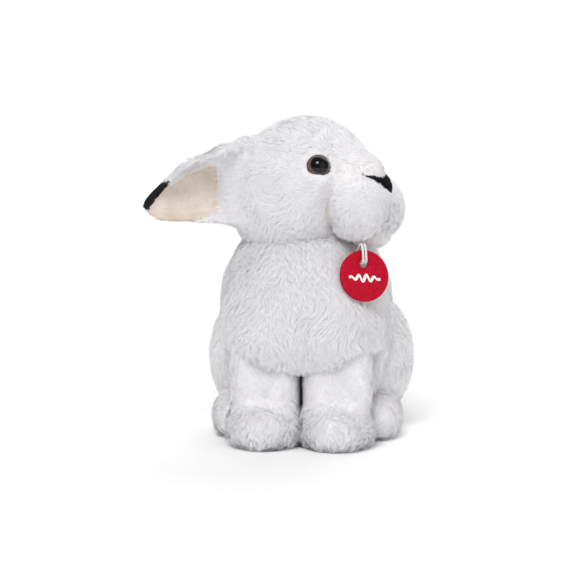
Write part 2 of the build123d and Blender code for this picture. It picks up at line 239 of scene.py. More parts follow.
def surface(field, low, high, step):
    """Closed quad mesh of a field's zero level: surface nets, then points pulled onto it."""
    axes = [np.arange(lo, hi + step, step) for lo, hi in zip(low, high)]
    grid = np.stack(np.meshgrid(*axes, indexing="ij"), -1)
    value = field(grid.reshape(-1, 3)).reshape(grid.shape[:3])
    inside = value < 0
    cells = np.array(inside.shape) - 1
    total = np.zeros((*cells, 3))
    count = np.zeros(cells)
    corners = [(i, j, k) for i in (0, 1) for j in (0, 1) for k in (0, 1)]

    def corner(a, c):
        return a[c[0]:c[0] + cells[0], c[1]:c[1] + cells[1], c[2]:c[2] + cells[2]]

    for c in corners:
        for axis in range(3):
            if c[axis]:
                continue
            d = tuple(v + (i == axis) for i, v in enumerate(c))
            va, vb = corner(value, c), corner(value, d)
            crossing = (va < 0) != (vb < 0)
            t = np.where(crossing, va / np.where(crossing, va - vb, 1), 0)
            point = corner(grid, c) + (corner(grid, d) - corner(grid, c)) * t[..., None]
            total += np.where(crossing[..., None], point, 0)
            count += crossing
    used = count > 0
    index = -np.ones(cells, int)
    index[used] = np.arange(used.sum())
    verts = total[used] / count[used][:, None]
    faces = []
    for axis in range(3):
        first, second = [i for i in range(3) if i != axis]
        a = inside.take(range(cells[axis]), axis)
        b = inside.take(range(1, cells[axis] + 1), axis)
        at = np.argwhere(a != b)
        at = at[(at[:, first] > 0) & (at[:, second] > 0)]
        at = at[(at[:, first] < cells[first]) & (at[:, second] < cells[second])]
        ring = []
        for df, ds in ((1, 1), (0, 1), (0, 0), (1, 0)):
            q = at.copy()
            q[:, first] -= df
            q[:, second] -= ds
            ring.append(index[q[:, 0], q[:, 1], q[:, 2]])
        quad = np.stack(ring, -1)
        flip = a[at[:, 0], at[:, 1], at[:, 2]]
        if axis == 1:
            flip = ~flip
        quad[~flip] = quad[~flip][:, ::-1]
        faces.append(quad)
    faces = np.concatenate(faces)
    for _ in range(3):
        n = normals_of(field, verts)
        verts = verts - n * field(verts)[:, None] * 0.8
    return verts, faces


def normals_of(field, p, step=0.4):
    """Unit slopes of a field, which point outwards."""
    out = np.empty_like(p)
    for i in range(3):
        e = np.zeros(3)
        e[i] = step
        out[:, i] = field(p + e) - field(p - e)
    return unit(out)


# ---- fur as real strands -------------------------------------------------------------
ROWS = 3  # straight pieces in one strand
TAPER = np.array([1.0, 0.9, 0.62])  # a strand's width at the start of each piece
LENGTH_SPREAD = (0.10, 0.15)  # random share of the length, of a lock and of a strand
LIFT_SPREAD = (0.08, 0.12)  # random lift, likewise
CURL = 0.5  # mm that a strand bows sideways
SWIRL_SIZE = 16.0  # mm over which the combing drifts
PILE_FLOOR = 0.2  # mm; the coat is pressed flat on the floor
BARE = 1e-6  # the density where nothing grows
CREAM_SEED, SHADOW_TAN_SEED = 5, 7  # for the choice of the coloured strands


def scatter(verts, faces, amount, rng, density):
    """Random points on a quad mesh, more where density (0 to 1) is higher."""
    a, b, c, d = (verts[faces[:, i]] for i in range(4))
    corners = np.concatenate([np.stack([a, b, c], 1), np.stack([a, c, d], 1)])
    sides = corners[:, 1:] - corners[:, :1]
    area = np.linalg.norm(np.cross(sides[:, 0], sides[:, 1]), axis=1)
    weight = area * density(corners.mean(1))
    pick = rng.choice(len(corners), amount, p=weight / weight.sum())
    u, v = rng.random(amount), rng.random(amount)
    over = u + v > 1
    u[over], v[over] = 1 - u[over], 1 - v[over]
    t = corners[pick]
    return t[:, 0] + (t[:, 1] - t[:, 0]) * u[:, None] + (t[:, 2] - t[:, 0]) * v[:, None]


def strand_paths(root, normal, comb, length, lift):
    """Points along strands that start by lifting off the cloth and lie down towards the tip."""
    t = np.linspace(0, 1, ROWS + 1)[None, :, None]
    rise = lift[:, None, None] * (t - t * t / 2)
    step = normal[:, None] * rise + comb[:, None] * (t - rise)
    return root[:, None] + length[:, None, None] * step


def swirl(p, size, seed):
    """Smooth random numbers about zero that drift over a distance of about size."""
    rng = np.random.default_rng(seed)
    total = np.zeros(len(p))
    for _ in range(5):
        wave = rng.normal(0, 1, 3) * 2.2 / size
        total += np.sin(p @ wave + rng.uniform(0, 6.28))
    return total / 2.0


def fur(name, skin, field, amount, comb, body, seed, width=0.22, clump=3.0, gather=0.45,
        density=None, mess=0.22, sink=0.4, turn_by=0.6, group=None,
        soften=0.72):
    """A coat of tapered strands that rides on body, or on nothing yet.

    comb(p, n) gives direction, length in mm and lift.  group(p, n) gives the colour group of
    each strand.  width and clump are the size of a strand and of a lock in mm, gather how far
    strands lean to their lock, mess and turn_by how much the combing varies in radians, sink
    how deep the roots are, and soften how much a strand is lit like the skin below it.
    """
    rng = np.random.default_rng(seed)
    density = density or (lambda p: np.ones(len(p)))
    verts, faces = skin
    area = np.linalg.norm(np.cross(verts[faces[:, 2]] - verts[faces[:, 0]],
                                   verts[faces[:, 3]] - verts[faces[:, 1]]), axis=1).sum() / 2
    locks = max(8, int(area / clump ** 2))

    def grow(root, turn, stretch, raise_by):
        n = normals_of(field, root)
        direction, length, lift = comb(root, n)
        direction = unit(direction - (direction * n).sum(1, keepdims=True) * n)
        side = np.cross(n, direction)
        turn = turn + turn_by * swirl(root, SWIRL_SIZE, seed)
        direction = unit(direction + side * turn[:, None])
        return n, strand_paths(root - n * sink, n, direction, length * stretch,
                               np.clip(lift + raise_by, 0.05, 0.98))

    centre = scatter(verts, faces, locks, rng, density)
    lock_turn = rng.normal(0, mess * 1.8, locks)
    lock_stretch = 1 + rng.normal(0, LENGTH_SPREAD[0], locks)
    _, lock_path = grow(centre, lock_turn, lock_stretch, rng.normal(0, LIFT_SPREAD[0], locks))
    tree = KDTree(locks)
    for i, p in enumerate(centre):
        tree.insert(p, i)
    tree.balance()

    root = scatter(verts, faces, amount, rng, density)
    lock = np.array([tree.find(p)[1] for p in root])
    n, path = grow(root, lock_turn[lock] + rng.normal(0, mess, amount),
                   lock_stretch[lock] * (1 + rng.normal(0, LENGTH_SPREAD[1], amount)),
                   rng.normal(0, LIFT_SPREAD[1], amount))
    t = np.linspace(0, 1, ROWS + 1)
    pull = gather * rng.uniform(0.3, 1.0, amount)[:, None] * t[None] ** 1.5
    path = path + (lock_path[lock] - path) * pull[..., None]
    # each strand has a slight curl of its own
    sideways = np.cross(n, unit(path[:, ROWS] - path[:, 0]))
    bend = rng.normal(0, CURL, (amount, 1)) * np.sin(t * math.pi)[None]
    path = path + sideways[:, None] * bend[..., None]

    along = np.gradient(path, axis=1)
    face_on = unit(np.cross(along, n[:, None] + rng.normal(0, 0.3, (amount, 1, 3))))
    half = 0.5 * width * rng.uniform(0.7, 1.25, amount)[:, None] * TAPER[None]
    left = path[:, :ROWS] - face_on[:, :ROWS] * half[..., None]
    right = path[:, :ROWS] + face_on[:, :ROWS] * half[..., None]
    per = 2 * ROWS + 1
    block = np.empty((amount, per, 3))
    block[:, 0:2 * ROWS:2] = left
    block[:, 1:2 * ROWS:2] = right
    block[:, 2 * ROWS] = path[:, ROWS]
    block[..., 2] = np.maximum(block[..., 2], PILE_FLOOR)
    first = np.arange(amount)[:, None] * per
    loops, sizes = [], []
    for r in range(ROWS - 1):
        loops.append(first + np.array([2 * r, 2 * r + 1, 2 * r + 3, 2 * r + 2]))
        sizes.append(4)
    loops.append(first + np.array([2 * ROWS - 2, 2 * ROWS - 1, 2 * ROWS]))
    sizes.append(3)
    corners = np.concatenate(loops, 1).ravel()
    starts = np.cumsum([0] + sizes)
    loop_start = (np.arange(amount)[:, None] * starts[-1] + starts[:-1]).ravel()

    mesh = bpy.data.meshes.new(name)
    mesh.vertices.add(amount * per)
    mesh.vertices.foreach_set("co", (block * MM).astype(np.float32).ravel())
    mesh.loops.add(len(corners))
    mesh.loops.foreach_set("vertex_index", corners.astype(np.int32))
    mesh.polygons.add(len(loop_start))
    mesh.polygons.foreach_set("loop_start", loop_start.astype(np.int32))
    chosen = np.zeros(amount, int) if group is None else group(root, n)
    low = np.array([g[0] for g in GROUPS])[chosen]
    high = np.array([g[1] for g in GROUPS])[chosen]
    shade = low + (rng.random(amount) * (high - low)).astype(int)
    used = np.unique(shade)
    renumber = np.zeros(len(COATS), int)
    renumber[used] = np.arange(len(used))
    mesh.polygons.foreach_set("material_index",
                              np.repeat(renumber[shade], ROWS).astype(np.int32))
    mesh.polygons.foreach_set("use_smooth", np.ones(len(loop_start), bool))
    for i in used:
        mesh.materials.append(COATS[i])
    mesh.update(calc_edges=True)
    # the coat is lit as one soft surface, each strand only a little turned from it
    own = unit(np.cross(face_on, unit(along)))
    own = own * np.sign((own * n[:, None]).sum(2, keepdims=True))
    # low on the toy the pale floor lights the pile from all round
    low_down = 0.4 * smoothstep(34, 6, root[:, 2])
    shown = unit(n[:, None] * soften + own * (1 - soften) - DOWN * low_down[:, None, None])
    per_vertex = np.empty((amount, per, 3))
    per_vertex[:, 0:2 * ROWS:2] = shown[:, :ROWS]
    per_vertex[:, 1:2 * ROWS:2] = shown[:, :ROWS]
    per_vertex[:, 2 * ROWS] = shown[:, ROWS]
    mesh.normals_split_custom_set_from_vertices(per_vertex.reshape(-1, 3))
    obj = add_object(name, mesh)
    if body:
        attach(obj, body)
    return obj


# ---- fields of the stuffed bodies ----------------------------------------------------
SHOULDER_X = 23.5
SOLE_Z = 0.8  # the cloth's lowest point, mm over the floor
SOLE_K = 3  # how softly the cushions are flattened there


# Each cushion is an egg: its centre and radii in mm.  The number after it in join is the
# fillet where it is sewn on.


def groove(a, b, deep, wide):
    """How much a stitched seam draws the cloth in where the fields a and b meet."""
    return deep * np.exp(-(np.maximum(np.abs(a), np.abs(b)) / wide) ** 2)


def trunk(p):
    """Chest, neck, belly and rump."""
    body = egg(p, (0, 4, 78), (56, 55, 62))
    body = join(body, egg(p, (0, 3, 101), (51.5, 50, 40)), 12)
    body = join(body, egg(p, (0, 4, 122), (42.5, 41, 22)), 8)
    body = join(body, egg(p, (0, 14, 40), (48, 46, 44)), 14)
    for _, s in SIDES:
        body = join(body, egg(p, (s * 21, -24, 71), (26, 30, 27)), 12)
    # the belly tucks in behind the front legs, under the hem of the chest
    hem = 48 + 14 * smoothstep(8, 44, np.abs(p[:, 0] + 1))
    return cut(body, -cut(p[:, 1] + 8, p[:, 2] - hem, 5), 5)


def haunch(p, s):
    return egg(p, (s * 43, 38, 50), (25.8, 38, 39.5))


def hind_foot(p, s):
    return cut(egg(p, (s * 48.5, 10, 13), (14.5, 30, 17)), SOLE_Z - p[:, 2], SOLE_K)


def torso_field(p):
    """The trunk with the thighs, hind feet and tail sewn on."""
    body = trunk(p)
    for _, s in SIDES:
        thigh = haunch(p, s)
        body = join(body, thigh, 4) + groove(body, thigh, 1.2, 3)
        foot = hind_foot(p, s)
        body = join(body, foot, 4) + groove(body, foot, 0.6, 2.5)
    body = join(body, egg(p, (0, 67, 26), (13, 13, 13)), 3)
    return cut(body, SOLE_Z - p[:, 2], SOLE_K)


def leg_field(s):
    """The field of a front leg: a column with a flat front, and the paw."""
    def field(p):
        corner_r = 11.0
        box = np.abs(p - np.array([s * (SHOULDER_X - 0.1), -28.5, 44]))
        box = box - np.array([21.2, 17.2, 46]) + corner_r
        leg = np.linalg.norm(np.maximum(box, 0), axis=1) + np.minimum(box.max(1), 0) - corner_r
        paw = egg(p, (s * SHOULDER_X, -39, 12.5), (21.6, 22.5, 16.5))
        return cut(join(leg, paw, 8) + groove(leg, paw, 0.25, 3), SOLE_Z - p[:, 2], SOLE_K)
    return field


PAD_AT = (12.0, -45.5, -9.0)  # middle of the left muzzle pad, in the head's own frame
EYE_AWAY = 43.6  # centre of the eye's ball from the centre of the head, mm
EYE_BALL = 7.6
EYE_ROOM = 0.2  # between the eye's ball and the cloth, mm
EYE_AROUND, EYE_ABOVE = math.radians(46), math.radians(22.5)
EYE_DIR = {side: np.array([s * math.sin(EYE_AROUND) * math.cos(EYE_ABOVE),
                           -math.cos(EYE_AROUND) * math.cos(EYE_ABOVE),
                           math.sin(EYE_ABOVE)]) for side, s in SIDES}


def eye_axes(side):
    """Across, up and outwards at an eye, in the head's own frame."""
    outward = EYE_DIR[side]
    across_eye = unit(np.cross([0, 0, 1.0], outward))
    return across_eye, np.cross(outward, across_eye), outward


def face_parts(q):
    """Distances to the face cushions, in the head's own frame: rest of head, pads, chin."""
    rest = egg(q, (0, 0.5, 2), (46, 46, 46))
    for s in (1, -1):
        rest = join(rest, egg(q, (s * 19, 2, -17), (25, 30, 25)), 10)
    rest = join(rest, egg(q, (0, 15, -20), (35, 30, 23)), 8)
    rest = join(rest, egg(q, (0, -36, 10), (17.5, 22, 18)), 10)
    for s in (1, -1):
        rest = join(rest, egg(q, (s * 27.5, 28.5, 14), (12, 11, 21)), 9)
    x, y, z = PAD_AT
    pads = [egg(q, (s * x, y, z), (17, 18.5, 20.5)) for s in (1, -1)]
    chin = egg(q, (0, -45.5, -25), (15.5, 17, 10))
    return rest, pads, chin


def muzzle_seam(q):
    """Small close to the seams between the face cushions."""
    rest, pads, chin = face_parts(q)
    pad, rest, chin = np.abs(np.minimum(*pads)), np.abs(rest), np.abs(chin)
    return np.minimum(np.maximum(pad, rest), np.maximum(pad, chin))


def head_field(p):
    """The whole head without ears, hollowed for the eyes."""
    q = to_head(p)
    rest, pads, chin = face_parts(q)
    low = join(rest, chin, 4)
    pad = join(pads[0], pads[1], 23)
    depth = 0.5 + 0.9 * smoothstep(6, -8, q[:, 2])
    head = join(low, pad, 3.5) + depth * groove(low, pad, 1.0, 2.4)
    for side in EYE_DIR:
        axes = eye_axes(side)
        _, v, u = axes
        # the stuffing swells gently below and above the eye
        head = join(head, egg(q, u * 24 - v * 2.5, (14, 24.9, 24.9), turn=np.stack(axes, 1)), 3)
        head = cut(head, EYE_BALL + EYE_ROOM - np.linalg.norm(q - u * EYE_AWAY, axis=1), 1.0)
    return head


torso_skin = surface(torso_field, (-80, -66, -4), (80, 92, 152), 2.2)
head_skin = surface(head_field, (-62, -62, 108), (80, 66, 216), 1.6)
leg_skins = {
    side: surface(leg_field(s), (s * SHOULDER_X - 26, -68, -4), (s * SHOULDER_X + 26, -4, 100), 2)
    for side, s in SIDES
}

# ---- base skins ----------------------------------------------------------------------
NODES = frame["record"]["behaviour"]["bodies"]  # the CAD nodes of each body
torso = make_mesh("torso_plush", *torso_skin, [plush_ground_painted_pile_shade])
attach(torso, "torso")
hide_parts(*NODES["torso"])
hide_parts(*NODES["neck"])

head = make_mesh("head_plush", *head_skin, [plush_ground_painted_pile_shade])
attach(head, "head")
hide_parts(*[n for n in NODES["head"] if not n.startswith("eye_")])
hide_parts("eye_washer_left", "eye_washer_right")

for side, s in SIDES:
    leg = make_mesh(f"front_leg_plush_{side}", *leg_skins[side], [plush_ground_painted_pile_shade])
    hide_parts(f"front_leg_skin_{side}", f"front_paw_skin_{side}",
                f"front_leg_filling_{side}")
    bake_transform(leg)


# ---- how each coat is combed ---------------------------------------------------------
def torso_comb(p, n):
    """Down, and backwards on the back, but forwards on the hind feet."""
    back = smoothstep(-10, 40, p[:, 1])
    direction = DOWN + 0.5 * back[:, None] * np.array([0, 1, 0])
    foot = smoothstep(28, 20, p[:, 2]) * smoothstep(30, 38, np.abs(p[:, 0]))
    direction = direction * (1 - foot[:, None]) + foot[:, None] * np.array([0, -1, -0.4])
    chest = smoothstep(-14, -34, p[:, 1]) * smoothstep(48, 66, p[:, 2])
    length = 6.5 + 2.0 * chest - 0.5 * foot
    lift = np.full(len(p), 0.50) + 0.05 * chest
    return direction, length, lift


def leg_comb(p, n):
    """Down the leg, and forwards over the paw."""
    paw = smoothstep(32, 22, p[:, 2])
    direction = np.tile(DOWN, (len(p), 1)) + paw[:, None] * np.array([0, -0.7, 0.2])
    return direction, 5.2 + 2.3 * paw, np.full(len(p), 0.42) + 0.26 * paw


def head_comb(p, n):
    """Away from the nose, down on the cheeks, and trimmed short at the seams and eyes."""
    q = to_head(p)
    away = unit(q - np.array([0, -62, 6]))
    cheek = smoothstep(0, -22, q[:, 2])
    direction = away + cheek[:, None] * np.array([0, 0.2, -0.8])
    snout = smoothstep(-26, -44, q[:, 1])
    top = snout * smoothstep(-2, 8, q[:, 2])
    length = 5.8 + 1.4 * cheek - 0.4 * snout - 2.8 * top
    eye = np.min([np.linalg.norm(q - u * 46, axis=1) for u in EYE_DIR.values()], axis=0)
    length = length * (0.45 + 0.55 * smoothstep(0, 4, muzzle_seam(q)))
    length = length * (0.45 + 0.55 * smoothstep(8, 13, eye))
    lift = np.full(len(p), 0.46) + 0.1 * cheek
    return from_head(direction), length, lift


def head_density(p):
    """Bare at the eyes and nose, and thin in the muzzle's seams."""
    q = to_head(p)
    keep = np.ones(len(p))
    for u in EYE_DIR.values():
        keep *= smoothstep(EYE_BALL, EYE_BALL + 0.8, np.linalg.norm(q - u * EYE_AWAY, axis=1))
    keep *= 0.25 + 0.75 * smoothstep(0.2, 1.6, muzzle_seam(q))
    return np.maximum(keep * nose_free(q), BARE)


def head_group(p, n):
    """Cream strands in the muzzle seam and on the trimmed strip from eye to nose."""
    q = to_head(p)
    strip = smoothstep(-34, -46, q[:, 1])
    strip = strip * smoothstep(8, 13, q[:, 2]) * smoothstep(24, 19, q[:, 2])
    chance = 0.75 * smoothstep(2.6, 0.6, muzzle_seam(q)) + 0.3 * strip
    return np.where(np.random.default_rng(CREAM_SEED).random(len(p)) < chance, CREAM, WHITE)


# the nose's outline from the front, in the head's own frame: its outer tips, top and bottom
NOSE_TIP = (13.5, 12.4)
NOSE_TOP = 9.8
NOSE_BOTTOM = 0.0


def nose_inside(x, z):
    """Positive inside the nose's outline, in mm from its edge."""
    x = np.abs(x)
    top = NOSE_TOP + (NOSE_TIP[1] - NOSE_TOP) / NOSE_TIP[0] * x - z
    d = unit(np.array([-NOSE_TIP[0], NOSE_BOTTOM - NOSE_TIP[1]]))
    side = (x - NOSE_TIP[0]) * d[1] - (z - NOSE_TIP[1]) * d[0]
    return np.minimum(top, side)


def nose_free(q):
    """0 under the nose's cloth, where the white coat doesn't grow, and else 1."""
    under = (nose_inside(q[:, 0], q[:, 2]) > 0) & (q[:, 1] < -40)
    return np.where(under, 0.0, 1.0)


FUR_SHARE = 1.0


def share(n):
    return int(n * FUR_SHARE)


def where(test):
    """A density of 1 where test holds."""
    return lambda p: np.where(test(p), 1.0, BARE)


# a coat is several pieces, so that no mesh gets too many triangles
SPLIT_Y, SPLIT_Z = 4, 62
for name, seed, amount, front, top in (
    ("torso_fur_chest", 11, 38000, True, True),
    ("torso_fur_low_front", 12, 22000, True, False),
    ("torso_fur_back", 13, 26000, False, True),
    ("torso_fur_rump", 14, 34000, False, False),
):
    fur(name, torso_skin, torso_field, share(amount), torso_comb, "torso", seed,
        density=where(lambda p, front=front, top=top: (
            ((p[:, 1] < SPLIT_Y) == front) & ((p[:, 2] >= SPLIT_Z) == top))))

for name, seed, amount, low, high in (
    ("head_fur_face", 21, 36000, -99, -22),
    ("head_fur_cheeks", 22, 34000, -22, 10),
    ("head_fur_back", 23, 28000, 10, 99),
):
    fur(name, head_skin, head_field, share(amount), head_comb, "head", seed, group=head_group,
        density=lambda p, low=low, high=high: head_density(p) * np.where(
            (to_head(p)[:, 1] >= low) & (to_head(p)[:, 1] < high), 1, BARE))

for side, s in SIDES:
    coat = fur(f"front_leg_fur_{side}", leg_skins[side], leg_field(s), share(32000), leg_comb,
               None, 16 + s)
    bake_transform(coat)

# ---- nose ----------------------------------------------------------------------------
def on_face(x, z, out):
    """Where a line straight back from the front meets the face, moved out by out mm."""
    near, far = np.full(x.shape, -75.0), np.full(x.shape, -30.0)
    for _ in range(24):
        mid = (near + far) / 2
        hit = head_field(head_point(np.stack([x, mid, z], -1))) < 0
        far, near = np.where(hit, mid, far), np.where(hit, near, mid)
    p = head_point(np.stack([x, far, z], -1))
    return p + normals_of(head_field, p) * out[:, None]


# the patch is a grid laid on the face, in two layers with a wall round the edge
NOSE_STEP = 0.8
NOSE_RISE = 1.1  # how far its middle stands over its edge, mm
NOSE_EDGE, NOSE_DEEP = -0.6, -1.4  # height of the edge and of the back layer, mm
columns, rows = np.arange(-16, 16.1, NOSE_STEP), np.arange(-1, 17, NOSE_STEP)
across, up = (v.ravel() for v in np.meshgrid(columns, rows))
inward = nose_inside(across, up)
nose_front = on_face(across, up, NOSE_RISE * smoothstep(-0.2, 2.0, inward) + NOSE_EDGE)
nose_back = on_face(across, up, np.full(len(across), NOSE_DEEP))
n_columns, n_points = len(columns), len(across)
quads = []
for j in range(len(rows) - 1):
    for i in range(n_columns - 1):
        k = j * n_columns + i
        q = (k, k + 1, k + n_columns + 1, k + n_columns)
        if all(inward[k] > -0.5 for k in q):
            quads.append(q)
edges = dict.fromkeys((a, b) for q in quads for a, b in zip(q, q[1:] + q[:1]))
shell = list(quads) + [tuple(k + n_points for k in reversed(q)) for q in quads]
for a, b in edges:
    if (b, a) not in edges:
        shell.append((b, a, a + n_points, b + n_points))
used = sorted({k for q in shell for k in q})
number = {k: i for i, k in enumerate(used)}
nose_points = np.concatenate([nose_front, nose_back])[used]
nose = make_mesh("nose_patch_cloth", nose_points, [[number[k] for k in q] for q in shell],
                 [black_cloth])
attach(nose, "head")
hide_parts("nose_patch")


def nose_comb(p, n):
    """Forwards and outwards."""
    away = to_head(p) * np.array([0.6, 0, 0]) + np.array([0, -1, 0.4])
    return from_head(away), np.full(len(p), 1.6), np.full(len(p), 0.6)


nose_quads = np.array([[number[k] for k in q] for q in quads])
fur("nose_patch_nap", (nose_points, nose_quads), head_field, share(4500), nose_comb, "head", 31,
    width=0.2, clump=1.6, sink=-0.2, mess=0.4, group=lambda p, n: np.full(len(p), BLACK))

# ---- eyes ----------------------------------------------------------------------------
eye_black = new_material("eye_black", (0.002, 0.002, 0.002), 0.09, Specular_IOR_Level=0.4)
eye_brown = new_material("eye_brown", (0.09, 0.05, 0.035), 0.07, Specular_IOR_Level=0.32)
add_colour_noise(eye_brown, 500, (0.080, 0.048, 0.036), (0.13, 0.085, 0.066))
add_colour_noise(eye_black, 300, (0.001, 0.001, 0.001), (0.003, 0.002, 0.002))
EYE_RINGS = 28
EYE_TURNS = 64
EYE_END = math.pi * 0.70  # the ball is cut off flat at this angle, inside the head
PUPIL_EDGE = 48  # degrees from the eye's middle
for side, s in SIDES:
    w, v, u = eye_axes(side)
    points = [u * (EYE_AWAY + EYE_BALL)]
    for i in range(1, EYE_RINGS + 1):
        a = EYE_END * i / EYE_RINGS
        for j in range(EYE_TURNS):
            t = 2 * math.pi * j / EYE_TURNS
            points.append(u * (EYE_AWAY + EYE_BALL * math.cos(a))
                          + (w * math.cos(t) + v * math.sin(t)) * EYE_BALL * math.sin(a))
    points.append(u * (EYE_AWAY + EYE_BALL * math.cos(EYE_END)))
    faces = [(0, 1 + j, 1 + (j + 1) % EYE_TURNS) for j in range(EYE_TURNS)]
    for i in range(EYE_RINGS - 1):
        for j in range(EYE_TURNS):
            a, b = 1 + i * EYE_TURNS + j, 1 + i * EYE_TURNS + (j + 1) % EYE_TURNS
            faces.append((a, a + EYE_TURNS, b + EYE_TURNS, b))
    last = 1 + (EYE_RINGS - 1) * EYE_TURNS
    faces += [(last + (j + 1) % EYE_TURNS, last + j, len(points) - 1) for j in range(EYE_TURNS)]
    eye = make_mesh(f"button_eye_{side}", head_point(np.array(points)), faces,
                    [eye_black, eye_brown])
    middle = np.array([np.mean([points[k] for k in f], axis=0) for f in faces])
    off = np.degrees(np.arccos(np.clip(unit(middle - u * EYE_AWAY) @ u, -1, 1)))
    eye.data.polygons.foreach_set("material_index", (off > PUPIL_EDGE).astype(np.int32))
    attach(eye, "head")
    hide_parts(f"eye_{side}")

# ---- ears ----------------------------------------------------------------------------
EAR_ROOT = np.array([31.5, 33.5, 13.0])
EAR_ALONG = np.array([0.56, 0.76, -0.33])
EAR_FACE = np.array([0.80, -0.54, -0.25])
EAR_CURL = 30.0  # radius that the ear's cloth is rolled to, mm
# width of the upper and lower half of the ear at distances from the root, mm
EAR_AT = np.array([-8, 0, 8, 20, 34, 48, 58, 63, 66, 80.0])
EAR_UPPER = np.array([19, 20.5, 22.5, 23.5, 20.5, 13.5, 7.5, 4.5, 1, -12.0])
EAR_LOWER = np.array([27, 28, 28.5, 27, 22.5, 18.5, 15, 11, 5, -8.0])
TIP_FRONT = 46.0  # where the dark edge starts on the inside, mm from the root
TIP_BACK = 36.0  # and on the back


def ear_axes(s):
    """Root, along, across and face of an ear, in the head's own frame."""
    mirror = np.array([s, 1, 1])
    along = unit(EAR_ALONG * mirror)
    face = EAR_FACE * mirror
    face = unit(face - along * (face @ along))
    return EAR_ROOT * mirror, along, np.cross(face, along), face


def ear_place(p, s):
    """Points as distances along the ear, across it, and over the middle of its cloth."""
    root, along, across_ear, face = ear_axes(s)
    q = to_head(p) - root
    t, a, h = q @ along, q @ across_ear, q @ face
    rolled = EAR_CURL - np.sqrt(np.maximum(EAR_CURL ** 2 - np.clip(a, -26, 26) ** 2, 1))
    return t, a, h - rolled


def ear_edge(t, a, s):
    """Distance inside the ear's outline, positive inside."""
    best = t + 8
    for table, side in ((EAR_UPPER, ear_up(s)), (EAR_LOWER, -ear_up(s))):
        half = np.interp(t, EAR_AT, table)
        lean = np.interp(t, EAR_AT, np.gradient(table, EAR_AT))
        best = np.minimum(best, (half - a * side) / np.sqrt(1 + lean ** 2))
    return best


def ear_field(s):
    """The field of an ear: a rolled plate with thick rims, and its root sewn to the head."""
    def field(p):
        t, a, h = ear_place(p, s)
        edge = ear_edge(t, a, s)
        up = a * ear_up(s) > 0
        fold = smoothstep(62, 36, t)
        rim = smoothstep(9 + 6 * fold * up, 1, edge)
        thick = 1.3 + rim * np.where(up, 3.6 * fold + 0.9, 1.2)
        raised = rim * np.where(up, 1.4 * fold, 0.5)
        plate = cut(np.abs(h - raised) * 0.92 - thick, -(edge - thick * 0.7), 2.5)
        low, high = -23 * ear_up(s), 14 * ear_up(s)
        flap = limb(np.stack([t, a, h], 1), (6, low, 2.0), (3, high, 2.0), 7.0, 8.0)
        ear = join(plate, flap, 9)
        # at the root the cloth runs smoothly on into the head's
        return cut(join(ear, head_field(p), 10), ear - 10, 2)
    return field


def ear_up(s):
    """1 where the across axis points up, -1 where it points down."""
    return 1.0 if ear_axes(s)[2][2] > 0 else -1.0


def ear_colours(s):
    """Colour group of a place on an ear."""
    def group(p, n):
        t, a, _ = ear_place(p, s)
        edge = ear_edge(t, a, s)
        inside = (n @ from_head(ear_axes(s)[3])) > 0.15
        top_side = a * ear_up(s)
        # a straight strip along the upper edge at the tip
        beyond, below = t - TIP_FRONT, 14.7 - top_side
        along_band = beyond * 0.825 + below * 0.565
        in_from_edge = below * 0.825 - beyond * 0.565
        band = inside & (in_from_edge < 5.8) & (along_band > 0) & (along_band < 25)
        rolled = (2.2 + 9.5 * smoothstep(52, 34, t) * smoothstep(4, 12, top_side)
                  + 4.5 * smoothstep(40, 16, t) * smoothstep(-4, -12, top_side))
        lining = inside & (edge > rolled) & (t > 14 - 0.3 * top_side) & ~band
        dark_back = ~inside & (t > np.where((top_side > 0) & (edge < 6), TIP_FRONT, TIP_BACK))
        return np.where(lining, CREAM, np.where(band | dark_back, BLACK, WHITE))
    return group


def ear_strand_colours(s):
    """The same, with a brown shadow in the lining's top corner at the head."""
    def group(p, n):
        kind = ear_colours(s)(p, n)
        t, a, _ = ear_place(p, s)
        # painted shadow: tan strands are likeliest in the lining's corner by the head, where the
        # fold is in shade
        chance = 0.75 * smoothstep(9, 2, np.hypot(t - 15, (a * ear_up(s) - 7) * 0.7))
        picked = np.random.default_rng(SHADOW_TAN_SEED).random(len(p)) < chance
        return np.where((kind == CREAM) & picked, SHADOW_TAN, kind)
    return group


def ear_comb(s):
    """Towards the tip and a little down; short on the lining and the dark tip."""
    def comb(p, n):
        kind = ear_colours(s)(p, n)
        direction = np.tile(from_head(ear_axes(s)[1]), (len(p), 1)) + 0.3 * DOWN
        length = np.where(kind == WHITE, 5.0, np.where(kind == BLACK, 1.5, 1.4))
        return direction, length, np.where(kind == WHITE, 0.45, 0.7)
    return comb


ear_cloths = [plush_ground_painted_pile_shade, lining_cloth, black_cloth]  # in the order of WHITE, CREAM, BLACK
for side, s in SIDES:
    root, along, across_ear, face = ear_axes(s)
    spots = head_point(np.array([root + along * t + across_ear * a + face * h
                                 for t in (-21, 70) for a in (-42, 40) for h in (-22, 34)]))
    field = ear_field(s)
    skin = surface(field, spots.min(0) - 1, spots.max(0) + 1, 1.1)
    ear = make_mesh(f"ear_plush_{side}", *skin, ear_cloths)
    middle = skin[0][skin[1]].mean(1)
    kind = ear_colours(s)(middle, normals_of(field, middle))
    ear.data.polygons.foreach_set("material_index", kind.astype(np.int32))
    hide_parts(f"ear_back_{side}", f"ear_tip_{side}", f"ear_lining_{side}")
    coat = fur(f"ear_fur_{side}", skin, field, share(30000), ear_comb(s), None, 28 + s,
               clump=2.6, group=ear_strand_colours(s), mess=0.3,
               density=where(lambda p: head_field(p) > -1.5))
    for piece in (ear, coat):
        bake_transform(piece)

# ---- hang tag ------------------------------------------------------------------------
TAG_AT = np.array([40.8, -39.0, 111.2])
TAG_R = 16.5
TAG_HOLE_UP, TAG_HOLE_R = 7.8, 2.7
TAG_AROUND, TAG_TILT = math.radians(25), math.radians(12)
tag_normal = np.array([math.sin(TAG_AROUND) * math.cos(TAG_TILT),
                       -math.cos(TAG_AROUND) * math.cos(TAG_TILT),
                       math.sin(TAG_TILT)])
tag_right = np.array([math.cos(TAG_AROUND), math.sin(TAG_AROUND), 0])
tag_up = np.cross(tag_normal, tag_right)


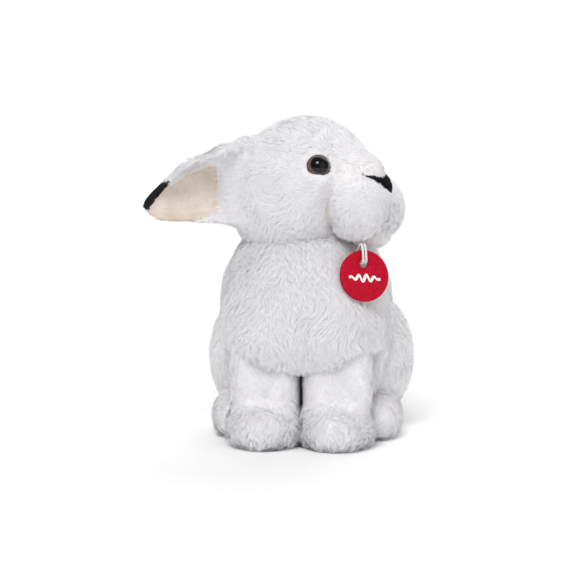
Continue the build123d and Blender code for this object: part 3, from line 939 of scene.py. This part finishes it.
def tag_point(x, y, z):
    """A point right, up and in front of the disc's middle."""
    return TAG_AT + tag_right * x + tag_up * y + tag_normal * z


tag_red = new_material("tag_red", (0.40, 0.003, 0.014), 0.55, Specular_IOR_Level=0.08)
add_colour_noise(tag_red, 700, (0.40, 0.003, 0.016), (0.50, 0.006, 0.026))
add_noise_bump(tag_red, 2500, 0.35, 0.0002)
tag_white = new_material("tag_white", (0.88, 0.86, 0.84), 0.6)
add_noise_bump(tag_white, 2500, 0.3, 0.0002)
TURNS = 96
# the disc's section: share of the way from hole to rim, and height; down the front and back
rings = [(0.0, 0.45), (0.25, 0.72), (0.6, 0.8), (0.97, 0.8), (0.985, 0.7), (1.0, 0.4)]
rings += [(over, -z) for over, z in reversed(rings)]
points, faces = [], []
for over, z in rings:
    for j in range(TURNS):
        t = 2 * math.pi * j / TURNS
        inner = np.array([TAG_HOLE_R * math.cos(t), TAG_HOLE_UP + TAG_HOLE_R * math.sin(t)])
        outer = np.array([TAG_R * math.cos(t), TAG_R * math.sin(t)])
        xy = inner + (outer - inner) * over
        points.append(tag_point(xy[0], xy[1], z))
for i in range(len(rings)):
    for j in range(TURNS):
        a, b = i * TURNS + j, i * TURNS + (j + 1) % TURNS
        c, d = (a + TURNS) % len(points), (b + TURNS) % len(points)
        faces.append((a, c, d, b))
disc = make_mesh("tag_disc_card", points, faces, [tag_red])
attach(disc, "tag")
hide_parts("tag_disc")

# a plain printed wave, standing in for the print on the real tag
WAVE_FRONT, WAVE_BACK = 0.86, 0.7
wave_x = np.linspace(-10.5, 10.5, 80)
wave_y = -1.5 + 2.2 * np.sin(wave_x * 1.2) * (0.6 + 0.4 * np.cos(wave_x * 0.28)) - 0.08 * wave_x
slope = np.gradient(wave_y, wave_x)
half_w = 0.55 + 0.35 * np.abs(np.cos(wave_x * 0.6))
nx, ny = -slope / np.sqrt(1 + slope ** 2), 1 / np.sqrt(1 + slope ** 2)
points, faces = [], []
for x, y, ax, ay, hw in zip(wave_x, wave_y, nx, ny, half_w):
    for w, z in ((-hw, WAVE_FRONT), (hw, WAVE_FRONT), (hw, WAVE_BACK), (-hw, WAVE_BACK)):
        points.append(tag_point(x + ax * w, y + ay * w, z))
for i in range(len(wave_x) - 1):
    for k in range(4):
        faces.append((i * 4 + k, i * 4 + (k + 1) % 4, i * 4 + 4 + (k + 1) % 4, i * 4 + 4 + k))
faces += [(0, 3, 2, 1), tuple(len(points) - 4 + k for k in (0, 1, 2, 3))]
print_mark = make_mesh("tag_printed_wave", points, faces, [tag_white], smooth=False)
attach(print_mark, "tag")

cord_white = new_material("tag_cord_cotton", (0.74, 0.73, 0.72), 0.85, Sheen_Weight=0.2)
add_noise_bump(cord_white, 3000, 0.8, 0.0003)
CORD_D = 1.5
SEAM_AT = np.array([34.7, -25.7, 122.5])  # where the cords leave the neck seam
SEAM_APART = 1.5  # how far from there each one comes out, mm
# the route: up and in front of the disc's middle, mm
CORD_ROUTE = ((19.4, -2.2), (20.6, 1.2), (18.6, 3.7), (9.6, 3.5), (7.9, 2.0), (7.8, -3.4))
for side, s in SIDES:
    points = [SEAM_AT + tag_right * (s * SEAM_APART)]
    points += [tag_point(s, up, out) for up, out in CORD_ROUTE]
    curve = bpy.data.curves.new(f"tag_cord_strand_{side}", "CURVE")
    curve.dimensions = "3D"
    spline = curve.splines.new("NURBS")
    spline.points.add(len(points) - 1)
    for point, at in zip(spline.points, points):
        point.co = (*(at * MM), 1)
    spline.order_u = 3
    spline.use_endpoint_u = True
    spline.resolution_u = 6
    curve.bevel_depth = CORD_D / 2 * MM
    curve.bevel_resolution = 3
    curve.use_fill_caps = True
    curve.materials.append(cord_white)
    strand = add_object(f"tag_cord_strand_{side}", curve)
    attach(strand, "tag")
    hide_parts(f"tag_cord_{side}")


knot_centre = tag_point(0, TAG_HOLE_UP, -4.2)


def knot_field(p):
    q = (p - knot_centre) @ np.stack([tag_right, tag_up, tag_normal], 1)
    lumps = egg(q, (0.9, 0.5, 0.2), (1.7, 1.9, 2.0))
    lumps = join(lumps, egg(q, (-0.9, -0.4, -0.2), (1.8, 2.0, 1.9)), 0.5)
    return join(lumps, egg(q, (0.1, -0.9, 0.9), (2.1, 1.2, 1.1)), 0.4)


knot = make_mesh("tag_cord_knot", *surface(knot_field, knot_centre - 4, knot_centre + 4, 0.4),
                 [cord_white])
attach(knot, "tag")
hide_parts("tag_knot")

# ---- floor and light -----------------------------------------------------------------
floor_material = new_material("studio_floor", (0.985, 0.985, 0.985), 0.8)
bpy.ops.mesh.primitive_plane_add(size=8, location=(0, 0, 0))
floor = bpy.context.object
floor.name = "floor"
floor.data.materials.append(floor_material)

world = bpy.data.worlds.new("studio")
bpy.context.scene.world = world
world.use_nodes = True
world_nodes, world_links = world.node_tree.nodes, world.node_tree.links
DOME_COLOUR = (0.988, 0.983, 1.0)
DOME_LIGHT = 0.5  # strength that lights the toy
DOME_IN_GLOSS = 0.2  # strength that shows in reflections
BACKDROP = 1.01  # strength that the camera sees, just past white


def background(node, colour, strength):
    """Set a background node, and return its output."""
    node.inputs["Color"].default_value = (*colour, 1)
    node.inputs["Strength"].default_value = strength
    return node.outputs[0]


def choose(ray, others, chosen):
    """One shader for rays of one kind, and another for the rest."""
    mix = world_nodes.new("ShaderNodeMixShader")
    for socket, source in zip(mix.inputs, (rays.outputs[ray], others, chosen)):
        world_links.new(source, socket)
    return mix.outputs[0]


dome = background(world_nodes["Background"], DOME_COLOUR, DOME_LIGHT)
in_gloss = background(world_nodes.new("ShaderNodeBackground"), DOME_COLOUR, DOME_IN_GLOSS)
backdrop = background(world_nodes.new("ShaderNodeBackground"), (1, 1, 1), BACKDROP)
rays = world_nodes.new("ShaderNodeLightPath")
sky = choose("Is Camera Ray", choose("Is Glossy Ray", dome, in_gloss), backdrop)
world_links.new(sky, world_nodes["World Output"].inputs[0])


def soft_light(name, at, strength, angle):
    """A far light that shines from at towards the toy, and looks angle degrees wide."""
    data = bpy.data.lights.new(name, "SUN")
    data.energy = strength
    data.angle = math.radians(angle)
    lamp = add_object(name, data)
    lamp.location = at
    lamp.rotation_mode = "QUATERNION"
    lamp.rotation_quaternion = (-Vector(at)).to_track_quat("-Z", "Y")


soft_light("key", (-0.12, -0.95, 1.15), 1.65, 24)
soft_light("fill", (0.95, -0.8, 0.45), 0.35, 60)
soft_light("back", (0.2, 1.0, 0.75), 1.0, 60)

bpy.context.view_layer.update()
